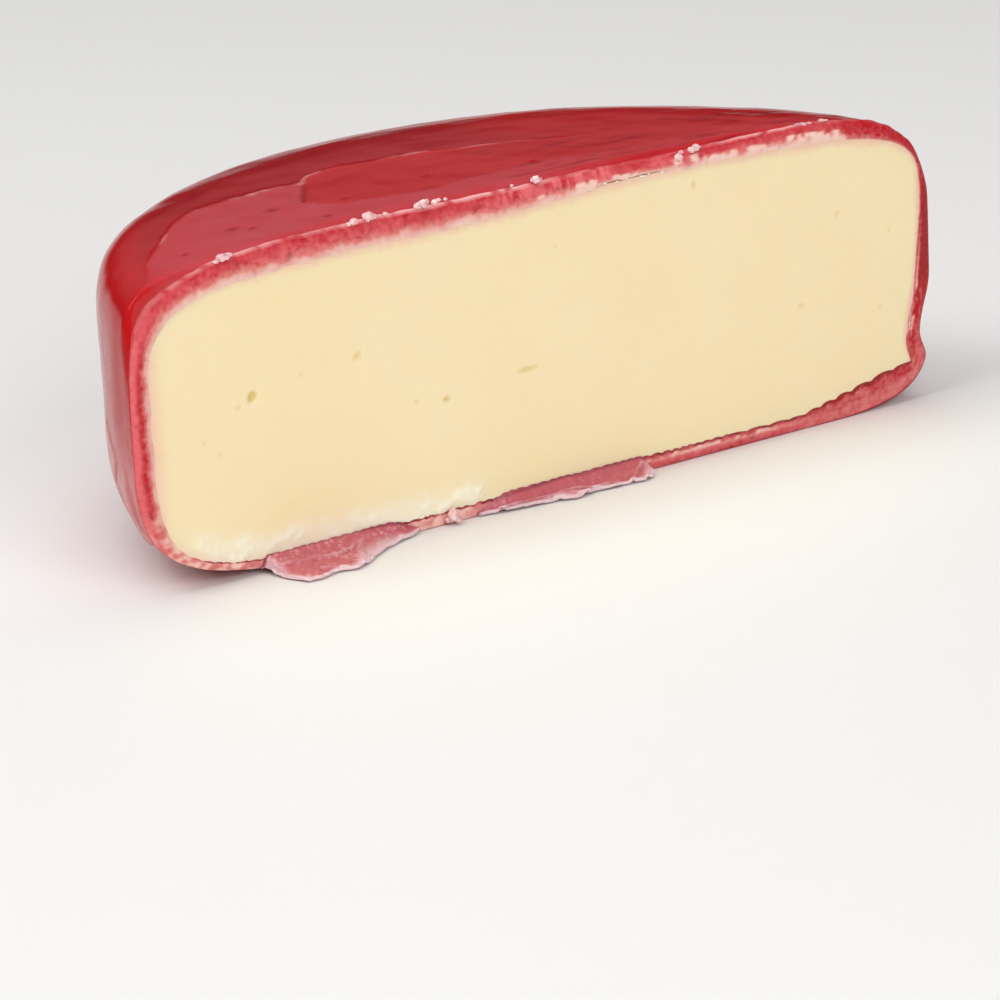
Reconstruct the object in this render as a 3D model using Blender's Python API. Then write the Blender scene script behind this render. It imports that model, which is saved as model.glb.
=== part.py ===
"""Half of a flattened ball of mild yellow cheese in its red wax coat.

The ball was cut straight down beside its middle, so the paste shows as one flat face that
looks along -Y, framed by the cut edge of the wax. Two solids: the cheese and the wax coat.
The piece stands on the ball's flat underside. Metres, +Z up, origin on the surface that the
piece stands on, under the middle of its box.
"""

import math

import bmesh
import bpy

MM = 0.001

# The whole ball before the cut
BALL_RADIUS = 70.0 * MM
BALL_HEIGHT = 47.4 * MM
BELLY_HEIGHT = 27.0 * MM        # height of the widest ring above the underside
FOOT_FLATTENING = 0.3 * MM      # how far the ball has settled on its flat underside
CUT_BESIDE_MIDDLE = 10.7 * MM   # the cut passes this far behind the ball's own axis

# Squareness of a corner: (along the radius, along the height), 2 is round and 10 nearly square
BALL_CORNERS = {
    "top": {"left": (4.2, 7.0), "right": (6.6, 3.1)},
    "base": {"left": (5.5, 5.2), "right": (9.8, 7.6)},
}
PASTE_CORNERS = {
    "top": {"left": (8.2, 3.3), "right": (3.5, 8.0)},
    "base": {"left": (7.3, 5.3), "right": (5.5, 5.6)},
}

# Thickness of the wax at the ball's left and right ends
WAX_SIDE = {"left": 1.8 * MM, "right": 2.0 * MM}
WAX_TOP = {"left": 4.2 * MM, "right": 2.8 * MM}
WAX_BASE = {"left": 1.5 * MM, "right": 1.8 * MM}
PASTE_GAP = 0.3 * MM            # clearance between the paste and the wax

# The knife pressed the wax's outer edge in: depth into the ball and inward pull
BEVEL_DEPTH = 2.6 * MM
BEVEL_PULL = 0.7 * MM
CORNER_PULL = 2.4 * MM          # stronger at the upper left corner
CORNER_SPREAD = 18.0 * MM

# The pinched crease low on the right flank
PINCH_HEIGHT = 10.2 * MM
PINCH_REACH_UP = 10.0 * MM
PINCH_REACH_DOWN = 5.0 * MM
PINCH_TURN = math.radians(30)   # how far it runs round the ball behind the cut
WAX_PINCH = 2.3 * MM
PASTE_PINCH = 3.4 * MM

# Flaps of wax that the knife dragged out of the underside, lying forward
FLAP_SINK = 0.25 * MM           # how far a flap's root lies above the coat's own underside
FLAP_ROOT = 1.6 * MM            # how far a flap runs back under the coat
BROAD_FLAP = {"left": -49.5 * MM, "right": -29.0 * MM, "reach": 7.0 * MM,
              "tip_width": 0.62, "skew": -1.5 * MM, "thickness": 1.0 * MM, "lift": 0.9 * MM}
THIN_FLAP = {"left": -14.5 * MM, "right": 14.5 * MM, "reach": 3.0 * MM,
             "tip_width": 0.80, "skew": 2.5 * MM, "thickness": 0.8 * MM, "lift": 0.5 * MM}

# Small gas holes in the cut face: place across and up the face, half width, half height
EYES = [
    (-50.5 * MM, 25.5 * MM, 1.2 * MM, 1.1 * MM),
    (-33.6 * MM, 27.8 * MM, 0.8 * MM, 0.9 * MM),
    (-19.3 * MM, 18.5 * MM, 0.9 * MM, 0.6 * MM),
    (-5.4 * MM, 20.0 * MM, 1.9 * MM, 0.5 * MM),
]
EYE_DEPTH = 0.8 * MM

# Fineness of the surfaces
TURN_STEPS = 80
RING_STEPS = 32
RING_CROWDING = 2.1             # draws the rings together at the belly and the flats
FLAP_STEPS = (12, 4)

# The piece's box runs from the broad flap's tip to the ball's back
BACK = BALL_RADIUS - CUT_BESIDE_MIDDLE
BOX_MIDDLE = (BACK - BROAD_FLAP["reach"]) / 2


def blend(first, second, share):
    """The value part of the way from first to second."""
    return first + (second - first) * share


def from_ends(ends, rightness):
    """A size that runs from its value at the ball's left end to that at its right end."""
    return blend(ends["left"], ends["right"], rightness)


def bump(distance):
    """A smooth hill: 1 at distance 0 and 0 from distance 1 on."""
    return 0.5 + 0.5 * math.cos(math.pi * min(1.0, abs(distance)))


def clear_scene():
    """Remove whatever the scene holds."""
    for item in list(bpy.data.objects):
        bpy.data.objects.remove(item, do_unlink=True)


def new_collection(name):
    """A collection linked to the scene."""
    collection = bpy.data.collections.new(name)
    bpy.context.scene.collection.children.link(collection)
    return collection


def new_object(name, shape, collection):
    """Turn a bmesh into a smooth-shaded object in the collection."""
    mesh = bpy.data.meshes.new(name)
    shape.to_mesh(mesh)
    shape.free()
    mesh.shade_smooth()
    mesh.set_sharp_from_angle(angle=math.radians(40))
    item = bpy.data.objects.new(name, mesh)
    collection.objects.link(item)
    return item


def crowded(share):
    """Draw the steps of 0..1 together at both ends."""
    near = share ** RING_CROWDING
    far = (1.0 - share) ** RING_CROWDING
    return near / (near + far)


def pinch_depth(height, turn, depth):
    """Inward pull of the crease at a height and a turn round the ball."""
    rise = height - PINCH_HEIGHT
    reach = PINCH_REACH_UP if rise > 0 else PINCH_REACH_DOWN
    return depth * bump(rise / reach) * bump(turn / PINCH_TURN)


def ball_point(latitude, turn, corners, wall, pinch):
    """A point of the squared-off ball: latitude runs -90..90 degrees, turn goes round +Z.

    wall is how far the surface lies inside the ball's own, at its side, top and base.
    """
    rightness = (1.0 + math.cos(turn)) / 2.0
    half = "top" if latitude >= 0 else "base"
    angle = crowded(abs(latitude) / (math.pi / 2)) * (math.pi / 2)
    along, upward = (blend(left, right, rightness) for left, right
                     in zip(corners[half]["left"], corners[half]["right"]))
    radius = (BALL_RADIUS - from_ends(wall["side"], rightness)) * math.cos(angle) ** (2 / along)
    swell = math.sin(angle) ** (2 / upward)
    if half == "top":
        height = BELLY_HEIGHT + (BALL_HEIGHT - from_ends(wall["top"], rightness) - BELLY_HEIGHT) * swell
    else:
        base = from_ends(wall["base"], rightness)
        height = BELLY_HEIGHT - (BELLY_HEIGHT - base + FOOT_FLATTENING) * swell
        height = max(height, base)
    radius -= pinch_depth(height, turn, pinch)
    return radius * math.cos(turn), radius * math.sin(turn) - CUT_BESIDE_MIDDLE, height


def squared_ball(corners, wall, pinch):
    """A closed ball, made from a sphere whose rings move out to the ball's own profile."""
    shape = bmesh.new()
    bmesh.ops.create_uvsphere(shape, u_segments=TURN_STEPS, v_segments=RING_STEPS, radius=1.0)
    for vertex in shape.verts:
        latitude = math.asin(max(-1.0, min(1.0, vertex.co.z)))
        turn = math.atan2(vertex.co.y, vertex.co.x)
        vertex.co = ball_point(latitude, turn, corners, wall, pinch)
    return shape


def wall_of(gap):
    """How far the paste's surface lies inside the ball, less the given gap."""
    return {name: {end: size - gap for end, size in ends.items()}
            for name, ends in (("side", WAX_SIDE), ("top", WAX_TOP), ("base", WAX_BASE))}


NO_WALL = {name: {"left": 0.0, "right": 0.0} for name in ("side", "top", "base")}


def cut_face(shape):
    """Cut a ball at the plane y = 0, keep what lies behind it and close the cut."""
    everything = shape.verts[:] + shape.edges[:] + shape.faces[:]
    cut = bmesh.ops.bisect_plane(shape, geom=everything, dist=1e-7, plane_co=(0, 0, 0),
                                 plane_no=(0, -1, 0), clear_outer=True)
    rim = [part for part in cut["geom_cut"] if isinstance(part, bmesh.types.BMEdge)]
    bmesh.ops.contextual_create(shape, geom=rim)
    bmesh.ops.recalc_face_normals(shape, faces=shape.faces[:])


def knife_bevel(shape):
    """Pull the cut's rim in, most at the upper left corner, as the knife left it."""
    everything = shape.verts[:] + shape.edges[:] + shape.faces[:]
    bmesh.ops.bisect_plane(shape, geom=everything, dist=1e-7, plane_co=(0, BEVEL_DEPTH, 0),
                           plane_no=(0, -1, 0))
    cut_face(shape)
    corner = (-BALL_RADIUS, BALL_HEIGHT)
    for vertex in shape.verts:
        nearness = max(0.0, 1.0 - vertex.co.y / BEVEL_DEPTH)
        lift = vertex.co.z - BELLY_HEIGHT
        above = max(0.0, lift / (BALL_HEIGHT - BELLY_HEIGHT))
        apart = math.hypot(vertex.co.x - corner[0], vertex.co.z - corner[1])
        pull = (BEVEL_PULL * above + CORNER_PULL * bump(apart / CORNER_SPREAD)) * nearness ** 2
        if pull > 0.0:
            span = math.hypot(vertex.co.x / BALL_RADIUS, lift / BELLY_HEIGHT)
            vertex.co.x -= pull * vertex.co.x / BALL_RADIUS / span
            vertex.co.z -= pull * lift / BELLY_HEIGHT / span


def underside(across):
    """Height of the wax coat's underside at the cut, at a place across the face."""
    turn = math.atan2(CUT_BESIDE_MIDDLE, across)
    rightness = (1.0 + math.cos(turn)) / 2.0
    along, upward = (blend(left, right, rightness) for left, right
                     in zip(BALL_CORNERS["base"]["left"], BALL_CORNERS["base"]["right"]))
    share = math.hypot(across, CUT_BESIDE_MIDDLE) / BALL_RADIUS
    swell = (1.0 - share ** along) ** (1.0 / upward)
    return max(0.0, BELLY_HEIGHT - (BELLY_HEIGHT + FOOT_FLATTENING) * swell)


def flap(name, size, collection):
    """A torn tongue of wax: rooted in the coat's underside, narrower and thinner at its tip."""
    across_steps, out_steps = FLAP_STEPS
    shape = bmesh.new()
    bmesh.ops.create_cube(shape, size=1.0)
    for axis, steps in ((0, across_steps), (1, out_steps)):
        rungs = [edge for edge in shape.edges
                 if abs(edge.verts[0].co[axis] - edge.verts[1].co[axis]) > 0.5]
        bmesh.ops.subdivide_edges(shape, edges=rungs, cuts=steps - 1, use_grid_fill=True)
    middle = (size["left"] + size["right"]) / 2
    for vertex in shape.verts:
        side, out, over = vertex.co.x, 0.5 - vertex.co.y, vertex.co.z + 0.5
        width = (size["right"] - size["left"]) * blend(1.0, size["tip_width"], out)
        across = middle + side * width + size["skew"] * out
        ragged = 0.5 + 0.5 * math.cos(side * 9.0)
        reach = size["reach"] * blend(0.86, 1.0, ragged)
        thickness = size["thickness"] * blend(1.0, 0.45, out)
        curl = size["lift"] * out * out * (0.5 - 0.5 * math.cos(side * 12.0))
        rest = blend(underside(across) + FLAP_SINK, 0.1 * MM, min(1.0, out * 1.5))
        vertex.co = (across, FLAP_ROOT - (FLAP_ROOT + reach) * out, rest + curl + over * thickness)
    bmesh.ops.recalc_face_normals(shape, faces=shape.faces[:])
    return new_object(name, shape, collection)


def eye_cutter(collection):
    """The small gas holes, all in one cutter."""
    shape = bmesh.new()
    for across, up, half_width, half_height in EYES:
        made = bmesh.ops.create_uvsphere(shape, u_segments=8, v_segments=5, radius=1.0)
        bmesh.ops.scale(shape, verts=made["verts"], vec=(half_width, EYE_DEPTH, half_height))
        bmesh.ops.translate(shape, verts=made["verts"], vec=(across, 0.0, up))
    return new_object("eye_cutter", shape, collection)


def as_cutter(item):
    """Show a helper shape as wire and keep it out of the model."""
    item.display_type = "WIRE"
    item.hide_render = True
    return item


def add_boolean(item, other, operation):
    """Cut or join one object with another, kept live."""
    modifier = item.modifiers.new(f"{operation.lower()}_{other.name}", "BOOLEAN")
    modifier.operation = operation
    modifier.object = other
    modifier.solver = "EXACT"


def material(name, colour, roughness):
    """A plain material with its colour and roughness."""
    made = bpy.data.materials.new(name)
    made.use_nodes = True
    shader = made.node_tree.nodes["Principled BSDF"]
    shader.inputs["Base Color"].default_value = (*colour, 1.0)
    shader.inputs["Roughness"].default_value = roughness
    shader.inputs["Metallic"].default_value = 0.0
    made.diffuse_color = (*colour, 1.0)
    return made


def build_cheese(parts, cutters):
    """The solid paste, with its few small eyes."""
    shape = squared_ball(PASTE_CORNERS, wall_of(0.0), PASTE_PINCH)
    cut_face(shape)
    cheese = new_object("cheese", shape, parts)
    add_boolean(cheese, as_cutter(eye_cutter(cutters)), "DIFFERENCE")
    cheese.data.materials.append(material("pale_paste", (0.92, 0.76, 0.46), 0.55))
    return cheese


def build_wax_coat(parts, cutters):
    """The wax: the ball's outer form, hollowed for the paste, with its two torn flaps."""
    shape = squared_ball(BALL_CORNERS, NO_WALL, WAX_PINCH)
    knife_bevel(shape)
    wax_coat = new_object("wax_coat", shape, parts)
    hollow = squared_ball(PASTE_CORNERS, wall_of(PASTE_GAP), WAX_PINCH)
    add_boolean(wax_coat, as_cutter(new_object("paste_hollow", hollow, cutters)), "DIFFERENCE")
    for name, size in (("broad_flap", BROAD_FLAP), ("thin_flap", THIN_FLAP)):
        add_boolean(wax_coat, as_cutter(flap(name, size, cutters)), "UNION")
    wax_coat.data.materials.append(material("red_wax", (0.50, 0.02, 0.03), 0.25))
    return wax_coat


def main():
    clear_scene()
    parts = new_collection("half_ball_of_cheese")
    cutters = new_collection("cutters")
    place = bpy.data.objects.new("piece_place", None)
    place.location = (0.0, -BOX_MIDDLE, 0.0)
    parts.objects.link(place)
    build_cheese(parts, cutters)
    build_wax_coat(parts, cutters)
    for item in list(parts.objects) + list(cutters.objects):
        if item is not place:
            item.parent = place


main()
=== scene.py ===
"""Half of a flattened ball of mild yellow cheese in red food wax, set on a pale table.

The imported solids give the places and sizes. This script gives the looks: the wax with its
dipped unevenness, its knife-pressed edge, saw marks and torn flaps, the cut face with its
small gas holes and smears, and the crumbs that the knife left.
"""

import math
import random

import bpy
import numpy as np
from mathutils import Euler, Matrix, Vector, noise


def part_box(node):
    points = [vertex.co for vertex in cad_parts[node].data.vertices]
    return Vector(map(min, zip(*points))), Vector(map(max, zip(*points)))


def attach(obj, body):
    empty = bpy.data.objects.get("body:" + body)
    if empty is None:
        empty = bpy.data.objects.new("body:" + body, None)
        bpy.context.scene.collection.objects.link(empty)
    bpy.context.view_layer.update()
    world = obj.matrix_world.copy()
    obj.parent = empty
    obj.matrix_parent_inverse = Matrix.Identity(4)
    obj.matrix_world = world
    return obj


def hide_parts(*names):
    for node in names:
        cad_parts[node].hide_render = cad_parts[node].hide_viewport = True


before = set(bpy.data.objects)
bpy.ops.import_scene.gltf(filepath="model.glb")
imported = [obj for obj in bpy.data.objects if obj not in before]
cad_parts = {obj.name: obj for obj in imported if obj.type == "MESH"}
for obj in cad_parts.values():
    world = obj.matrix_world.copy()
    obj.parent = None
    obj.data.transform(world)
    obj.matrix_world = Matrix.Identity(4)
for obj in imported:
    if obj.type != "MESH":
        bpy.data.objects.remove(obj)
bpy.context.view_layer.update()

MM = 0.001

# The ball before the cut, as in the part's source
BALL_RADIUS = 70.0 * MM
BALL_HEIGHT = 47.4 * MM
BELLY_HEIGHT = 27.0 * MM
FOOT_FLATTENING = 0.3 * MM
CUT_BESIDE_MIDDLE = 10.7 * MM
RING_CROWDING = 2.1

# Squareness of a corner: (along the radius, along the height) at the left and right ends
BALL_CORNERS = {"top": ((4.2, 7.0), (6.6, 3.1)), "base": ((5.5, 5.2), (9.8, 7.6))}
PASTE_CORNERS = {"top": ((8.2, 3.3), (4.5, 6.0)), "base": ((7.3, 5.3), (12.0, 10.0))}

# Thickness of the wax at the left and right ends
WAX_SIDE = (1.8 * MM, 2.0 * MM)
WAX_TOP = (4.2 * MM, 2.8 * MM)
WAX_BASE = (1.5 * MM, 1.8 * MM)
WALLS = (WAX_SIDE, WAX_TOP, WAX_BASE)
NO_WALLS = ((0.0, 0.0),) * 3

# Low on the right the wax under the cut face is thicker: from here on, and rising so much
THICK_BASE_START = 43.5 * MM
THICK_BASE_HEIGHT = 1.7 * MM
THICK_BASE_SLOPE = 0.2

# The pinched crease low on the right flank: depth, height of its middle, reach above and below
WAX_CREASE = (2.25 * MM, 10.8 * MM, 9.2 * MM, 4.8 * MM)
PASTE_CREASE = (3.3 * MM, 10.5 * MM, 14.0 * MM, 8.0 * MM)
CREASE_TURN = math.radians(30)
CREASE_FADE = 12.0 * MM         # how far into the cut face the paste follows the crease

# The knife-pressed edge of the wax
BEVEL_DEPTH = 2.6 * MM
BEVEL_PULL = 0.7 * MM
CORNER_PULL = 2.4 * MM
CORNER_SPREAD = 18.0 * MM
EDGE_SET_BACK = {"top": 0.9 * MM, "left": 0.7 * MM, "right": 0.5 * MM, "base": 0.25 * MM}
SET_BACK_SPREAD = 4.0 * MM

# Where the cut face lies in the part's frame
CUT_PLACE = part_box("cheese")[0][1]

# Fineness of the modelled surfaces
SKIN_COLUMNS = 130
BAND_COLUMNS = 12
HOLLOW_COLUMNS = 14
ROWS_UP = 230
ROWS_DOWN = 250
PASTE_COLUMNS = 440
PASTE_FRONT_ROWS = 130
PASTE_BACK_ROWS = 26
DENSE_STEPS = 700
TURN_ROUNDS = 5                 # rounds that settle a point's turn round the ball
WELD_DISTANCE = 0.002 * MM

# Saw marks of the knife along the lower edge
SAW_PITCH = 1.6 * MM
WIDE_SAW_PITCH = 3.4 * MM
SAW_HEIGHT = 0.30 * MM

FOOD_IOR = 1.44                 # wax and moist cheese alike

# The camera, found from the outline of the cut face
CAMERA_DISTANCE = 560.0 * MM
CAMERA_AZIMUTH = math.radians(-33.37)
CAMERA_ELEVATION = math.radians(19.05)
CAMERA_ROLL = math.radians(-2.73)
CAMERA_LENS = 139.4             # millimetres
CAMERA_TARGET = (-7.8 * MM, 5.1 * MM, -0.5 * MM)    # from the middle of the cut's lower edge
SENSOR_WIDTH = 36.0             # millimetres

# Softboxes, in metres and watts: place, size and power
SOFTBOXES = {"top_softbox": ((-0.15, 0.1, 1.25), (1.4, 1.2), 8.6),
             "front_softbox": ((-0.3, -1.5, 0.9), (1.6, 1.2), 20.8),
             "left_softbox": ((-1.0, 0.1, 1.1), (0.8, 0.8), 8.5)}
SOFTBOX_AIM = (0.0, 0.0, 0.02)
TABLE_WIDTH = 8.0


def mix(first, second, share):
    """The value part of the way from first to second."""
    return first + (second - first) * share


def crowded(share):
    """Draw the steps of 0..1 together at both ends."""
    near = share ** RING_CROWDING
    far = (1.0 - share) ** RING_CROWDING
    return near / (near + far)


def bump(distance):
    """A smooth hill: 1 at distance 0 and 0 from distance 1 on."""
    return 0.5 + 0.5 * np.cos(np.pi * np.minimum(1.0, np.abs(distance)))


def ramp(value, low, high):
    """0 below low, 1 above high and a smooth rise between."""
    share = np.clip((value - low) / (high - low), 0.0, 1.0)
    return share * share * (3.0 - 2.0 * share)


def between(value, low, high, soft):
    """1 between low and high, with a smooth rise and fall of the width soft inside them."""
    return ramp(value, low, low + soft) * (1.0 - ramp(value, high - soft, high))


def off_line(across, along, start, end):
    """Distance to the straight line from start to end."""
    run = (end[0] - start[0], end[1] - start[1])
    from_start = (across - start[0], along - start[1])
    share = (from_start[0] * run[0] + from_start[1] * run[1]) / (run[0] ** 2 + run[1] ** 2)
    share = np.clip(share, 0.0, 1.0)
    return np.hypot(from_start[0] - share * run[0], from_start[1] - share * run[1])


def grain(points, size, seed):
    """Smooth noise about -1..1 with lumps of a real size in millimetres, one value a point."""
    offset = Vector((seed * 17.3, seed * 5.1, seed * 9.7))
    flat = points.reshape(-1, 3) / (size * MM)
    values = [noise.noise(Vector(point) + offset) for point in flat]
    return np.array(values).reshape(points.shape[:-1])


def crease_pull(height, turn, crease):
    """Inward pull of the pinched crease."""
    depth, middle, reach_up, reach_down = crease
    rise = height - middle
    reach = np.where(rise > 0, reach_up, reach_down)
    return depth * bump(rise / reach) * bump(turn / CREASE_TURN)


def ball_profile(angle, turn, corners, walls):
    """Radius from the ball's axis and height, at a profile angle and a turn round it."""
    right = (1.0 + np.cos(turn)) / 2.0
    side, top, base = (mix(wall[0], wall[1], right) for wall in walls)
    upper = angle >= 0
    along, upward = (np.where(upper, mix(corners["top"][0][k], corners["top"][1][k], right),
                              mix(corners["base"][0][k], corners["base"][1][k], right))
                     for k in (0, 1))
    radius = (BALL_RADIUS - side) * np.abs(np.cos(angle)) ** (2.0 / along)
    swell = np.abs(np.sin(angle)) ** (2.0 / upward)
    rise = BELLY_HEIGHT + (BALL_HEIGHT - top - BELLY_HEIGHT) * swell
    fall = np.maximum(BELLY_HEIGHT - (BELLY_HEIGHT - base + FOOT_FLATTENING) * swell, base)
    return radius, np.where(upper, rise, fall)


def fan_points(angle, fan, corners, walls, crease):
    """Points of the ball's surface in the upright plane at a fan angle about the cut's middle."""
    turn = np.full_like(angle, fan)
    for _ in range(TURN_ROUNDS):
        radius, height = ball_profile(angle, turn, corners, walls)
        radius = radius - crease_pull(height, turn, crease)
        inside = np.maximum(radius ** 2 - (CUT_BESIDE_MIDDLE * math.cos(fan)) ** 2, 0.0)
        reach = np.maximum(np.sqrt(inside) - CUT_BESIDE_MIDDLE * math.sin(fan), 0.0)
        turn = np.arctan2(reach * math.sin(fan) + CUT_BESIDE_MIDDLE, reach * math.cos(fan))
    return np.stack([reach * math.cos(fan), reach * math.sin(fan), height], axis=-1)


def evenly(points, count):
    """Resample a path of points into count equal steps."""
    steps = np.linalg.norm(np.diff(points, axis=0), axis=1)
    length = np.concatenate([[0.0], np.cumsum(steps)])
    wanted = np.linspace(0.0, length[-1], count + 1)
    return np.stack([np.interp(wanted, length, points[:, k]) for k in range(3)], axis=1)


def ball_sheet(fans, corners, walls, crease):
    """Rows by columns of points: a column runs from the top's middle down to the base's."""
    angle = crowded(np.linspace(0.0, 1.0, DENSE_STEPS)) * (math.pi / 2)
    columns = []
    for fan in fans:
        upper = evenly(fan_points(angle, fan, corners, walls, crease), ROWS_UP)
        lower = evenly(fan_points(-angle, fan, corners, walls, crease), ROWS_DOWN)
        columns.append(np.concatenate([upper[::-1], lower[1:]]))
    return np.stack(columns, axis=1)


def outward(points):
    """Outward direction of the ball's surface."""
    behind = points[..., 1] + CUT_BESIDE_MIDDLE
    radius = np.hypot(points[..., 0], behind)
    lift = points[..., 2] - BELLY_HEIGHT
    flat = (radius / BALL_RADIUS) ** 4 / np.maximum(radius, 1e-6)
    reach = np.where(lift > 0, BALL_HEIGHT - BELLY_HEIGHT, BELLY_HEIGHT)
    up = np.sign(lift) * (np.abs(lift) / reach) ** 4 * BALL_RADIUS / reach
    way = np.stack([points[..., 0] * flat, behind * flat, up], axis=-1)
    return way / np.maximum(np.linalg.norm(way, axis=-1, keepdims=True), 1e-9)


def edge_shares(points):
    """How much each point of the rim belongs to the top, left, right and base of the cut."""
    lift = (points[..., 2] - BELLY_HEIGHT) / BELLY_HEIGHT
    side = points[..., 0] / BALL_RADIUS
    top = ramp(lift, 0.15, 0.55)
    base = ramp(-lift, 0.45, 0.9)
    rest = 1.0 - np.maximum(top, base)
    return {"top": top, "base": base, "left": rest * (side < 0), "right": rest * (side >= 0)}


def edge_blend(shares, sizes):
    """A size that differs along the cut's outline."""
    return sum(shares[name] * size for name, size in sizes.items())


# Torn flaps of wax at the lower edge, from left to right: place of the root, place of the tip,
# reach forward and width of the milky rim, all in millimetres
BROAD_FLAP = [
    (-51.2, -50.2, 0.6, 1.4), (-49.9, -48.9, 5.4, 2.6), (-48.4, -47.8, 7.6, 2.2),
    (-46.0, -46.2, 8.0, 1.2), (-42.0, -42.6, 7.0, 0.9), (-39.6, -40.4, 7.7, 1.6),
    (-37.0, -38.2, 7.4, 3.4), (-34.8, -36.2, 5.6, 3.6), (-32.6, -33.6, 3.8, 2.8),
    (-30.0, -30.6, 2.6, 1.7), (-27.4, -27.6, 1.5, 0.9), (-25.2, -25.2, 0.5, 0.5)]
THIN_FLAP = [
    (-15.0, -15.0, 0.5, 0.3), (-11.0, -11.0, 1.5, 0.5), (-6.0, -6.0, 2.2, 0.6),
    (-2.6, -2.6, 2.8, 0.7), (-0.4, -0.2, 3.9, 1.1), (1.6, 1.8, 3.6, 1.0), (3.0, 3.2, 3.0, 0.6),
    (7.5, 7.9, 3.3, 0.5), (11.2, 11.8, 3.9, 1.1), (13.0, 13.8, 3.4, 2.0), (14.2, 14.9, 1.6, 1.6),
    (14.8, 15.2, 0.5, 0.5)]
FLAP_ROOT = 2.15                # height of the film's root, just under the paste
FLAP_SHEET = 0.45
# Whitish creases of the film: start and end, each across and forward, and width
BROAD_CREASES = [((-49.0, 2.4), (-40.0, 3.4), 0.45), ((-40.0, 3.4), (-35.2, 1.6), 0.4),
                 ((-36.0, 2.0), (-38.6, 6.6), 0.9), ((-44.5, 5.2), (-41.0, 6.6), 0.35)]
THIN_CREASES = [((-3.0, 2.0), (2.4, 3.2), 0.5), ((-12.0, 1.1), (8.0, 2.6), 0.25),
                ((9.6, 3.4), (13.6, 0.6), 0.4), ((12.6, 3.2), (14.4, 1.0), 0.9)]

# Marks on the top of the wax: millimetres across, from the cut's middle, and behind the cut
TOP_STARTS = (43.0, 45.5)       # the marks fade in between these heights
LAYER_EDGE = [
    (-64, 3), (-60.5, 9), (-57.5, 12.5), (-53, 17), (-49.6, 21.1), (-45.6, 23.9), (-41, 24.4),
    (-35.1, 24.0), (-30.3, 24.1), (-27.2, 23.4), (-25.0, 26.2), (-19, 28.0), (-10, 27.0),
    (-2, 24.5), (8, 21.5), (20, 16)]
PATCH_EDGE = [
    (-34, 16), (-31.5, 11.0), (-29.0, 8.5), (-23.8, 7.4), (-17.9, 6.2), (-8.8, 7.4), (0.2, 8.0),
    (16, 6)]
DIP_EDGE = [(-26.4, 24.4), (-28.2, 20.6), (-30.6, 17.0), (-32.4, 13.8)]
# Pits: place across and behind the cut, and width
TOP_PITS = [
    (-46.1, 10.2, 1.3), (-44.0, 8.2, 0.9), (-27.5, 10.8, 0.8), (-33.9, 5.0, 0.9),
    (-37.6, 13.8, 1.5), (-12.0, 14.0, 0.8), (3.0, 9.0, 0.9), (-56.0, 6.0, 0.8)]
# A crease on the left flank: degrees round the ball and height
FLANK_CREASE = [(158, 21.0), (163, 17.5), (160, 13.5), (165, 10.0), (168, 5.5)]
# Drips: degrees round the ball, height of the bulb, half width and half height
DRIPS = [
    (175, 12.5, 3.4, 6.5), (167, 8.5, 2.2, 4.5), (181, 20.0, 1.8, 7.0), (128, 11.0, 3.0, 8.0),
    (112, 16.0, 2.4, 9.5), (88, 9.0, 3.2, 6.0), (71, 14.0, 2.2, 8.5), (49, 10.0, 2.8, 6.0)]

# How high or deep the marks are, in millimetres
LAYER_STEP = 0.22
LAYER_LIP = 0.10
NOTCH_DEPTH = 0.20
BRUSH_DEPTH = 0.05
PIT_DEPTH = 0.25
DRIP_HEIGHT = 0.40
SCUFF_HEIGHT = 0.10
FLANK_CREASE_DEPTH = 0.30

LIP_HEIGHT = 0.16 * MM
WRINKLE_REACH = 7.0 * MM        # how far behind the cut the wax is wrinkled

# The cut wax: its swell and how far it stands proud of the cut face, its inner wall's start behind
# the cut, and the paste's low right corner, near which it laps less over the paste
BAND_SWELL = 0.10 * MM
BAND_PROUD = 0.03 * MM
TUCK_DEPTH = 0.45 * MM
LOW_CORNER = (65.5 * MM, 6.5 * MM)
LOW_CORNER_REACH = 5.0 * MM

# The paste's face: hole depth as a share of the listed one, height of scraped crumbs, and how its
# columns are set: just inside the ends and closer together there
EYE_SHARE = 0.55
SCRAPE_HEIGHT = 0.16 * MM
PASTE_INSET = 0.9992
PASTE_CROWDING = 1.35


def away_from_path(across, back, path):
    """Distance in millimetres to a path drawn on the wax."""
    lines = [off_line(across, back, start, end) for start, end in zip(path[:-1], path[1:])]
    return np.min(lines, axis=0)


def behind_path(across, back, path):
    """Distance in millimetres behind a path that runs across the top; negative in front of it."""
    line = np.interp(across, [place[0] for place in path], [place[1] for place in path])
    return (back - line) * 0.85


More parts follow.
